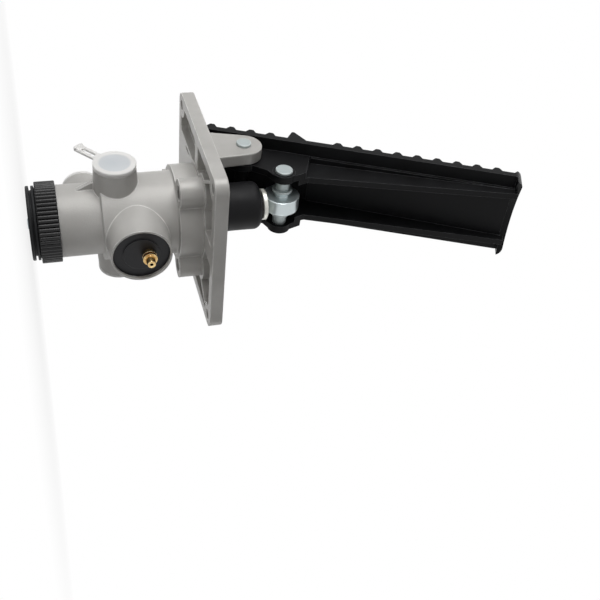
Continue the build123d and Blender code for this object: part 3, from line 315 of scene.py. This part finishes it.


# each edge tone is partly worn edges and partly a painted highlight on edges and fillets
finishes = {
    "body_casting": finish(
        "castAluminium", light=(0.54, 0.53, 0.51), dark=(0.46, 0.45, 0.43), edge=(0.98, 0.97, 0.95),
        metallic=0.1, rough=(0.36, 0.5), grain=0.4, grainScale=1300, edgeWidth=0.0014,
        edgeBreak=0.15, patchScale=26, Specular_IOR_Level=0.2),
    "plate_casting": finish(
        "plateAluminium", light=(0.53, 0.52, 0.50), dark=(0.43, 0.42, 0.40),
        edge=(0.95, 0.94, 0.91), metallic=0.1, rough=(0.3, 0.44), grain=0.22, grainScale=1500,
        edgeWidth=0.0012, edgeBreak=0.2, patchScale=30, Specular_IOR_Level=0.24),
    "treadle_paint": finish(
        "treadlePaint", light=(0.0075, 0.0078, 0.0085), dark=(0.004, 0.004, 0.0045),
        edge=(0.12, 0.123, 0.128), metallic=0.0, rough=(0.48, 0.56), grain=0.1, grainScale=1100,
        edgeWidth=0.0005, edgeBreak=0.0, patchScale=50, Specular_IOR_Level=0.12),
    "zinc_steel": finish(
        "zincSteel", light=(0.46, 0.51, 0.51), dark=(0.42, 0.47, 0.47), edge=(0.8, 0.83, 0.83),
        metallic=0.5, rough=(0.4, 0.46), grain=0.0, grainScale=2000, edgeWidth=0.0005,
        edgeBreak=0.0, patchScale=60),
    "roller_steel": finish(
        "rollerSteel", light=(0.60, 0.66, 0.67), dark=(0.56, 0.62, 0.63), edge=(0.95, 0.98, 0.98),
        metallic=0.82, rough=(0.28, 0.32), grain=0.0, grainScale=2000, edgeWidth=0.0006,
        edgeBreak=0.0, patchScale=60),
    "disc_zinc": finish(
        "discZinc", light=(0.84, 0.84, 0.78), dark=(0.64, 0.64, 0.58), edge=(0.95, 0.94, 0.9),
        metallic=0.5, rough=(0.25, 0.38), grain=0.05, grainScale=2000, edgeWidth=0.0004,
        edgeBreak=0.1, patchScale=120),
    "plunger_steel": finish(
        "plungerSteel", light=(0.35, 0.35, 0.35), dark=(0.26, 0.26, 0.26), edge=(0.6, 0.6, 0.6),
        metallic=0.8, rough=(0.25, 0.35)),
    "screw_steel": finish(
        "screwSteel", light=(0.20, 0.20, 0.20), dark=(0.12, 0.12, 0.12), edge=(0.5, 0.5, 0.5),
        metallic=0.6, rough=(0.35, 0.5)),
    "spring_steel": finish(
        "springSteel", light=(0.35, 0.35, 0.36), dark=(0.25, 0.25, 0.26), edge=(0.6, 0.6, 0.6),
        metallic=0.9, rough=(0.3, 0.4)),
    "boot_rubber": finish(
        "bootRubber", light=(0.011, 0.011, 0.012), dark=(0.007, 0.007, 0.0078),
        edge=(0.03, 0.03, 0.03), metallic=0.0, rough=(0.42, 0.55), grain=0.18, grainScale=900,
        edgeWidth=0.0003, edgeBreak=0.3, patchScale=60, Specular_IOR_Level=0.14),
    "seal_rubber": finish(
        "sealRubber", light=(0.012, 0.012, 0.012), dark=(0.008, 0.008, 0.008),
        edge=(0.03, 0.03, 0.03), metallic=0.0, rough=(0.5, 0.6), Specular_IOR_Level=0.2),
    "flap_rubber": finish(
        "flapRubber", light=(0.016, 0.017, 0.018), dark=(0.011, 0.012, 0.013),
        edge=(0.05, 0.05, 0.055), metallic=0.0, rough=(0.5, 0.62), grain=0.2, grainScale=1000,
        edgeWidth=0.0004, edgeBreak=0.2, patchScale=60, Specular_IOR_Level=0.2),
    "silencer_plastic": finish(
        "silencerPlastic", light=(0.004, 0.004, 0.0045), dark=(0.0025, 0.0025, 0.003),
        edge=(0.05, 0.05, 0.052), metallic=0.0, rough=(0.2, 0.24), grain=0.0, grainScale=1400,
        edgeWidth=0.0, edgeBreak=0.0, patchScale=70, Specular_IOR_Level=0.3),
    "washer_zinc": finish(
        "washerZinc", light=(0.48, 0.55, 0.58), dark=(0.38, 0.44, 0.47), edge=(0.85, 0.9, 0.92),
        metallic=0.6, rough=(0.3, 0.42), grain=0.06, grainScale=2000, edgeWidth=0.0003,
        edgeBreak=0.1, patchScale=130),
    "felt": finish(
        "felt", light=(0.3, 0.29, 0.27), dark=(0.22, 0.21, 0.2), edge=(0.35, 0.34, 0.32),
        metallic=0.0, rough=(0.85, 0.95), grain=0.8, grainScale=600),
    "plug_plastic": finish(
        "plugPlastic", light=(0.012, 0.012, 0.014), dark=(0.008, 0.008, 0.010),
        edge=(0.12, 0.12, 0.125), metallic=0.0, rough=(0.34, 0.46), grain=0.1, grainScale=1400,
        edgeWidth=0.0005, edgeBreak=0.2, patchScale=60, Specular_IOR_Level=0.25),
    "nipple_brass": finish(
        "nippleBrass", light=(0.80, 0.60, 0.28), dark=(0.46, 0.27, 0.10), edge=(0.95, 0.85, 0.6),
        metallic=1.0, rough=(0.2, 0.32), grain=0.05, grainScale=2200, edgeWidth=0.0003,
        edgeBreak=0.1, patchScale=260),
    # the rim colour is partly the cap's own cream tone and partly painted light for the rim's glow
    "cap_plastic": finish(
        "capPlastic", light=(0.64, 0.67, 0.70), dark=(0.61, 0.65, 0.68), edge=(0.70, 0.72, 0.73),
        metallic=0.0, rough=(0.3, 0.4), grain=0.03, grainScale=900, edgeWidth=0.0008, edgeBreak=0.0,
        patchScale=60, rim=(0.87, 0.86, 0.84), Specular_IOR_Level=0.3, Subsurface_Weight=0.5,
        Subsurface_Radius=(1.0, 1.0, 1.0), Subsurface_Scale=0.003),
    "guide_plastic": finish(
        "guidePlastic", light=(0.1, 0.1, 0.1), dark=(0.07, 0.07, 0.07), edge=(0.2, 0.2, 0.2),
        metallic=0.0, rough=(0.4, 0.5)),
    "valve_plastic": finish(
        "valvePlastic", light=(0.13, 0.13, 0.13), dark=(0.1, 0.1, 0.1), edge=(0.25, 0.25, 0.25),
        metallic=0.0, rough=(0.4, 0.5)),
    "piston_aluminium": finish(
        "pistonAluminium", light=(0.6, 0.6, 0.6), dark=(0.5, 0.5, 0.5), edge=(0.8, 0.8, 0.8),
        metallic=0.9, rough=(0.3, 0.4)),
}
slotOf = {row["node"]: row["material_slot"] for row in frame["record"]["subparts"]}
for nodeName, node in frame["nodes"].items():
    material = finishes[slotOf[nodeName]]
    if not node.data.materials:
        node.data.materials.append(material)
    for index in range(len(node.material_slots)):
        node.material_slots[index].material = material
print("finishes set")


def dress(piece, slotName, body, *nodes):
    piece.data.materials.clear()
    piece.data.materials.append(finishes[slotName])
    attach(piece, body)
    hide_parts(*nodes)
    return piece


def boxOf(node):
    low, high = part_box(node)
    return np.array(low) / mm, np.array(high) / mm


# Rubber boot
bootLow, bootHigh = boxOf("dust_boot")
boot = {
    "radius": bootHigh[0], "wall": 2.0, "base": bootLow[2], "shoulder": bootHigh[2] - 1.5,
    "shoulderRound": 6.5, "neckRadius": 11.0, "neckTop": bootHigh[2], "rodGap": 8.3,
    "wallRises": (15, 28), "footRound": 0.5, "neckFoot": 1.5, "neckFootRound": 0.6,
    "neckRound": 0.5, "innerRound": 0.3, "leanIn": 0.35, "innerMargin": 0.1,
    "segments": 128, "arcSteps": 10,
}


def makeBoot():
    # outer and inner walls of the boot as one closed profile; between foot and shoulder
    # the wall leans in by a shallow sine
    b = boot
    inner = b["radius"] - b["wall"]
    corners = [
        (inner, b["base"], 0), (b["radius"], b["base"], b["footRound"]),
        *((b["radius"], b["base"] + rise, 0) for rise in b["wallRises"]),
        (b["radius"], b["shoulder"], b["shoulderRound"]),
        (b["neckRadius"] + b["neckFoot"], b["shoulder"], b["neckFootRound"]),
        (b["neckRadius"], b["neckTop"], b["neckRound"]), (b["rodGap"], b["neckTop"], b["innerRound"]),
        (b["rodGap"], b["shoulder"] - b["wall"], b["innerRound"]),
        (inner, b["shoulder"] - b["wall"], b["shoulderRound"] - b["wall"]),
    ]
    profile = roundedProfile(corners, b["arcSteps"])

    def leanIn(radius, height, t):
        share = np.clip((height - b["base"]) / (b["shoulder"] - b["base"]), 0, 1)
        isWall = radius > inner - b["innerMargin"]
        return radius - b["leanIn"] * np.sin(np.pi * share) * isWall, height

    piece = lathe("dustBoot", profile, b["segments"], shift=leanIn)
    dress(piece, "boot_rubber", "root", "dust_boot")
    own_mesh(piece)
    return piece


# Fluted silencer cup
cupLow, cupHigh = boxOf("silencer_housing")
silencer = {
    "radius": cupHigh[1], "top": cupHigh[2], "bottom": cupLow[2], "bore": 27.02, "floor": 3.6,
    "flutes": 58, "perFlute": 12, "fluteDepth": 1.2, "fluteShape": 0.8, "fluteFade": 2.0,
    "rows": 12, "rowMargin": 0.9, "footSlope": 2.2, "footRound": 0.8, "topRound": 0.7,
    "boreRound": 0.2, "floorRound": 0.4, "rivetHole": 3.02, "arcSteps": 4,
}


def makeSilencer():
    # outer radius falls by a rounded flute between narrow crests, faded out at both ends
    s = silencer
    inside = s["bottom"] + s["floor"]
    height = np.linspace(s["bottom"] + s["rowMargin"], s["top"] - s["rowMargin"], s["rows"])
    corners = [
        (s["rivetHole"], s["bottom"], 0), (s["radius"] - s["footSlope"], s["bottom"], 0),
        (s["radius"], s["bottom"], s["footRound"]), *((s["radius"], z, 0) for z in height),
        (s["radius"], s["top"], s["topRound"]), (s["bore"], s["top"], s["boreRound"]),
        (s["bore"], inside, s["floorRound"]), (s["rivetHole"], inside, 0),
    ]
    profile = roundedProfile(corners, s["arcSteps"])

    def flute(radius, z, t):
        wave = np.abs(np.sin(t * s["flutes"] / 2)) ** s["fluteShape"]
        fade = np.clip((radius - s["radius"] + s["fluteFade"]) / s["fluteFade"], 0, 1)
        return radius - s["fluteDepth"] * (1 - wave) * fade, z

    piece = lathe("silencerCup", profile, s["flutes"] * s["perFlute"], shift=flute, smoothAngle=50)
    return dress(piece, "silencer_plastic", "root", "silencer_housing")


# Exhaust flap: two thin lips round one disc
flapLow, flapHigh = boxOf("exhaust_flap")
flap = {
    "radius": flapHigh[0], "face": flapLow[2], "back": flapHigh[2], "hole": 3.02,
    "dish": 13.0, "dishDepth": 1.5, "neck": 28.6, "groove": 26.6,
    "lip": 2.7, "secondLip": (4.3, 6.5), "dishRound": 0.3, "faceRound": 1.0, "lipRound": 0.6,
    "segments": 160,
}


def makeFlap():
    # one closed profile: dished face, lip, groove, second lip, neck and flat back
    f = flap
    low, high = (f["face"] + depth for depth in f["secondLip"])
    floor = f["face"] + f["dishDepth"]
    profile = roundedProfile([
        (f["hole"], floor, 0), (f["dish"], floor, 0), (f["dish"], f["face"], f["dishRound"]),
        (f["radius"], f["face"], f["faceRound"]),
        (f["radius"], f["face"] + f["lip"], f["lipRound"]),
        (f["groove"], f["face"] + f["lip"], 0), (f["groove"], low, 0),
        (f["radius"], low, f["lipRound"]), (f["radius"], high, f["lipRound"]),
        (f["neck"], high, 0), (f["neck"], f["back"], 0), (f["hole"], f["back"], 0)])
    piece = lathe("exhaustFlap", profile, f["segments"])
    return dress(piece, "flap_rubber", "root", "exhaust_flap")


# Springs: above and below are the joints that carry the upper and the lower seat
springs = {
    "graduating_spring": {
        "wire": 1.9, "turns": 2.4, "above": "plunger_slide", "below": "upper_piston_slide"},
    "upper_piston_spring": {
        "wire": 1.0, "turns": 3.0, "above": "upper_piston_slide", "below": None},
    "upper_valve_spring": {
        "wire": 0.6, "turns": 3.2, "above": "upper_valve_slide", "below": None},
    "relay_piston_spring": {
        "wire": 0.5, "turns": 3.0, "above": "relay_piston_slide", "below": None},
    "lower_valve_spring": {
        "wire": 0.6, "turns": 3.2, "above": "lower_valve_slide", "below": None},
}
springShape = {"seatGap": 0.05, "rows": 120, "sides": 20}


def makeSpring(node):
    # a circle carried along a helix: centre line (R cos a, R sin a, z), a growing with z,
    # and the circle in the plane across it; both ends are closed flat
    s = springs[node]
    low, high = boxOf(node)
    radius = high[0] - s["wire"]
    share = np.concatenate([[0], np.linspace(0, 1, springShape["rows"]), [1]])
    thick = s["wire"] * np.ones(len(share))
    thick[[0, -1]] = 0
    first = low[2] + s["wire"] + springShape["seatGap"]
    last = high[2] - s["wire"] - springShape["seatGap"]
    a = 2 * np.pi * s["turns"] * share
    slope = (last - first) / (2 * np.pi * s["turns"] * radius)
    out = np.stack([np.cos(a), np.sin(a), 0 * a], axis=1)
    along = np.stack([-np.sin(a), np.cos(a), 0 * a + slope], axis=1)
    along /= np.linalg.norm(along, axis=1)[:, None]
    across = np.cross(along, out)
    line = radius * out + np.array([0, 0, 1.0]) * (first + (last - first) * share)[:, None]
    t = np.linspace(0, 2 * np.pi, springShape["sides"], endpoint=False)[None, :, None]
    circle = np.cos(t) * out[:, None] + np.sin(t) * across[:, None]
    points = (line[:, None] + thick[:, None, None] * circle).reshape(-1, 3)
    faces = gridFaces(len(share), springShape["sides"])
    words = node.split("_")
    name = words[0] + "".join(word.capitalize() for word in words[1:])
    piece = closedMesh(name, points * mm, faces.tolist(), smoothAngle=50)
    dress(piece, "spring_steel", "root", node)
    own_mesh(piece)
    return piece


# Transit caps with their slotted tabs: side is the way that the tab points, and tilt its
# rise in degrees
caps = {
    "transit_cap_right": {
        "centre": (49.0, 0, -65.3), "axis": (1, 0, 0), "side": (0, -0.72, -0.69), "tilt": 3.0},
    "transit_cap_left": {
        "centre": (-49.0, 0, -65.3), "axis": (-1, 0, 0), "side": (0, 0.3, 1), "tilt": 3.0},
    "transit_cap_front": {
        "centre": (0, -42.0, -89.0), "axis": (0, -1, 0), "side": (-1, 0, -0.1), "tilt": 0.0},
}
capShape = {
    "radius": 17.18, "rimTop": 3.48, "rimWidth": 4.6, "rimRound": 0.9, "footRound": 0.3,
    "membrane": 2.8, "membraneRise": 0.15, "recessFoot": 1.0, "recessTop": 0.6, "recessRound": 0.8,
    "shank": 10.1, "shankWall": 1.8, "shankLength": 12.0, "shankRound": 0.4, "segments": 128,
    "toneStart": 1.5, "toneRun": 2.5,
}
tabShape = {
    "start": 15.2, "length": 23.48, "half": 4.48, "corner": 1.8, "thick": 2.2,
    "lipStart": 19.4, "lipRun": 0.9, "lipThick": 3.55,
    "slotStart": 4.5, "slotEnd": 17.5, "slotHalf": 1.5, "slotCorner": 1.4,
    "cornerPoints": 9, "sidePoints": (36, 8, 36, 8), "sectionPoints": 24, "squareness": 0.4,
}


def roundedOutline(start, end, half, corner):
    # a rectangle with round corners, walked corner by corner and side by side
    sides = ((end, half), (start, half), (start, -half), (end, -half))
    turns = np.linspace(0, np.pi / 2, tabShape["cornerPoints"])
    arcs = []
    for k, (x, y) in enumerate(sides):
        middle = np.array([x - corner * np.sign(x - (start + end) / 2), y - corner * np.sign(y)])
        angles = turns + k * np.pi / 2
        arcs.append(middle + corner * np.stack([np.cos(angles), np.sin(angles)], axis=1))
    walk = []
    for k, count in enumerate(tabShape["sidePoints"]):
        share = np.linspace(0, 1, count + 2)[1:-1, None]
        walk += [arcs[k], arcs[k][-1] * (1 - share) + arcs[(k + 1) % 4][0] * share]
    return np.concatenate(walk)


def tabGrid(centre, axis, side, tilt):
    # a band between the slot's outline and the tab's outline; its section is a squared-off
    # circle, and its thickness rises smoothly to the lip at the end
    b = tabShape
    turn = math.radians(tilt)
    along = side * math.cos(turn) + axis * math.sin(turn)
    normal = axis * math.cos(turn) - side * math.sin(turn)
    across = np.cross(normal, along)
    outer = roundedOutline(0.0, b["length"], b["half"], b["corner"])[:, None, :]
    inner = roundedOutline(b["slotStart"], b["slotEnd"], b["slotHalf"], b["slotCorner"])[:, None, :]
    t = np.linspace(0, 2 * np.pi, b["sectionPoints"], endpoint=False)[None, :]
    outward, upward = (0.5 + 0.5 * np.sign(wave) * np.abs(wave) ** b["squareness"]
                       for wave in (np.cos(t), np.sin(t)))
    flat = inner + (outer - inner) * outward[..., None]
    rise = np.clip((flat[..., 0] - b["lipStart"]) / b["lipRun"], 0, 1)
    thick = b["thick"] + (b["lipThick"] - b["thick"]) * rise * rise * (3 - 2 * rise)
    points = (centre + side * b["start"] + flat[..., :1] * along + flat[..., 1:] * across
              + (thick * upward)[..., None] * normal)
    return points.reshape(-1, 3), gridFaces(len(outer), b["sectionPoints"], True)


def makeCap(node):
    # a disc with a rounded rim, a shallow recess and a hollow shank, and its tab
    centre, axis, side = (np.array(caps[node][key], float) for key in ("centre", "axis", "side"))
    side /= np.linalg.norm(side)
    c = capShape
    lip = c["radius"] - c["rimWidth"]
    hollow = c["shank"] - c["shankWall"]
    profile = roundedProfile([
        (0, c["membrane"] + c["membraneRise"], 0), (lip - c["recessFoot"], c["membrane"], 0),
        (lip + c["recessTop"], c["rimTop"], c["recessRound"]),
        (c["radius"], c["rimTop"], c["rimRound"]), (c["radius"], 0, c["footRound"]),
        (c["shank"], 0, 0), (c["shank"], -c["shankLength"], c["shankRound"]),
        (hollow, -c["shankLength"], c["shankRound"]), (hollow, 0, 0), (0, 0, 0)])
    disc, discFaces = turnedGrid(profile, c["segments"], centre, axis, side)
    tab, tabFaces = tabGrid(centre, axis, side, caps[node]["tilt"])
    faces = np.concatenate([discFaces, tabFaces + len(disc)])
    name = "cap" + node.split("_")[-1].capitalize()
    points = np.concatenate([disc, tab]) * mm
    piece = closedMesh(name, points, faces.tolist(), smoothAngle=45)
    # the rim tone, partly the cap's own cream tone and partly painted light for the glow of the thick
    # translucent rim, starts where the recess ends
    merged = np.empty(3 * len(piece.data.vertices))
    piece.data.vertices.foreach_get("co", merged)
    out = merged.reshape(-1, 3) / mm - centre
    far = np.linalg.norm(out - (out @ axis)[:, None] * axis, axis=1)
    rim = piece.data.attributes.new("rim", "FLOAT", "POINT")
    rim.data.foreach_set("value", np.clip((far - lip + c["toneStart"]) / c["toneRun"], 0, 1))
    return dress(piece, "cap_plastic", "root", node)


makeBoot()
makeSilencer()
makeFlap()
for node in springs:
    makeSpring(node)
for node in caps:
    makeCap(node)
print("pieces made")


# Floor, light and camera: the floor's own shade ends at near, and at far it is plain white
stage = {
    "size": 30.0, "drop": 0.0005, "colour": (0.9, 0.9, 0.9), "rough": 0.8, "specular": 0.1,
    "near": 0.1, "far": 0.4, "lift": 0.8, "ambient": 0.07,
}


def whiteRays(tree):
    # one for rays to the camera, in reflections and through clear things, else nought
    rays = tree.nodes.new("ShaderNodeLightPath")
    total = rays.outputs["Is Camera Ray"]
    for label in ("Is Glossy Ray", "Is Transmission Ray"):
        more = tree.nodes.new("ShaderNodeMath")
        more.operation = "MAXIMUM"
        tree.links.new(total, more.inputs[0])
        tree.links.new(rays.outputs[label], more.inputs[1])
        total = more.outputs["Value"]
    return total


def makeStage():
    # a wide pale floor; away from the object it turns into the plain white of the backdrop
    size = stage["size"]
    level = cadBox[0][2] - stage["drop"]
    mesh = bpy.data.meshes.new("floor")
    corners = [(-size, -size), (size, -size), (size, size), (-size, size)]
    mesh.from_pydata([(x, y, level) for x, y in corners], [], [(0, 1, 2, 3)])
    floor = bpy.data.objects.new("floor", mesh)
    bpy.context.scene.collection.objects.link(floor)
    material = bpy.data.materials.new("floorPale")
    material.use_nodes = True
    tree = material.node_tree
    shader = tree.nodes["Principled BSDF"]
    shader.inputs["Base Color"].default_value = (*stage["colour"], 1)
    shader.inputs["Roughness"].default_value = stage["rough"]
    shader.inputs["Specular IOR Level"].default_value = stage["specular"]
    place = tree.nodes.new("ShaderNodeTexCoord")
    flat = tree.nodes.new("ShaderNodeVectorMath")
    flat.operation = "LENGTH"
    tree.links.new(place.outputs["Object"], flat.inputs[0])
    spread = mapRange(tree, flat.outputs["Value"], stage["near"], stage["far"], stage["lift"], 1.0)
    seen = tree.nodes.new("ShaderNodeMath")
    seen.operation = "MULTIPLY"
    tree.links.new(spread, seen.inputs[0])
    tree.links.new(whiteRays(tree), seen.inputs[1])
    plain = tree.nodes.new("ShaderNodeEmission")
    blend = tree.nodes.new("ShaderNodeMixShader")
    tree.links.new(seen.outputs["Value"], blend.inputs[0])
    tree.links.new(shader.outputs["BSDF"], blend.inputs[1])
    tree.links.new(plain.outputs["Emission"], blend.inputs[2])
    tree.links.new(blend.outputs["Shader"], tree.nodes["Material Output"].inputs["Surface"])
    mesh.materials.append(material)


def makeWorld():
    # white to the camera and in reflections, a softer white as a source of light
    world = bpy.data.worlds.new("studio")
    bpy.context.scene.world = world
    world.use_nodes = True
    tree = world.node_tree
    back = tree.nodes["Background"]
    back.inputs["Color"].default_value = (1, 1, 1, 1)
    strength = mapRange(tree, whiteRays(tree), 0, 1, stage["ambient"], 1.0)
    tree.links.new(strength, back.inputs["Strength"])


def addLight(name, place, size, power):
    data = bpy.data.lights.new(name, "AREA")
    data.shape = "DISK"
    data.size = size
    data.energy = power
    light = bpy.data.objects.new(name, data)
    light.location = place
    aim = Vector(lampTarget) - Vector(place)
    light.rotation_euler = aim.to_track_quat("-Z", "Y").to_euler()
    bpy.context.scene.collection.objects.link(light)


lampTarget = (0, 0, 0.05)
# each lamp's place, width and power
studio = {
    "key": ((1.65, 0.0, -0.1), 1.5, 37.0),
    "side": ((-0.9, -1.5, 0.5), 1.2, 7.0),
    "fill": ((-1.5, 0.6, 0.1), 1.0, 3.0),
    "top": ((0.1, -0.5, 1.9), 1.2, 8.0),
}
# the turn is in degrees about x, y and z; the camera stands low and on its side
cameraView = {
    "place": (0.42967, 0.58477, -0.12365), "turn": (157.9349, -72.6684, 69.8385),
    "lens": 51.22, "sensor": 36.0, "clip": 0.01,
}


def makeCamera():
    data = bpy.data.cameras.new("camera")
    data.sensor_width = cameraView["sensor"]
    data.lens = cameraView["lens"]
    data.clip_start = cameraView["clip"]
    camera = bpy.data.objects.new("camera", data)
    turn = Euler([math.radians(angle) for angle in cameraView["turn"]])
    camera.matrix_world = Matrix.Translation(cameraView["place"]) @ turn.to_matrix().to_4x4()
    bpy.context.scene.collection.objects.link(camera)
    bpy.context.scene.camera = camera


makeStage()
makeWorld()
for lightName, (place, size, power) in studio.items():
    addLight(lightName, place, size, power)
makeCamera()
bpy.context.scene.view_settings.view_transform = "Standard"
print("stage set")
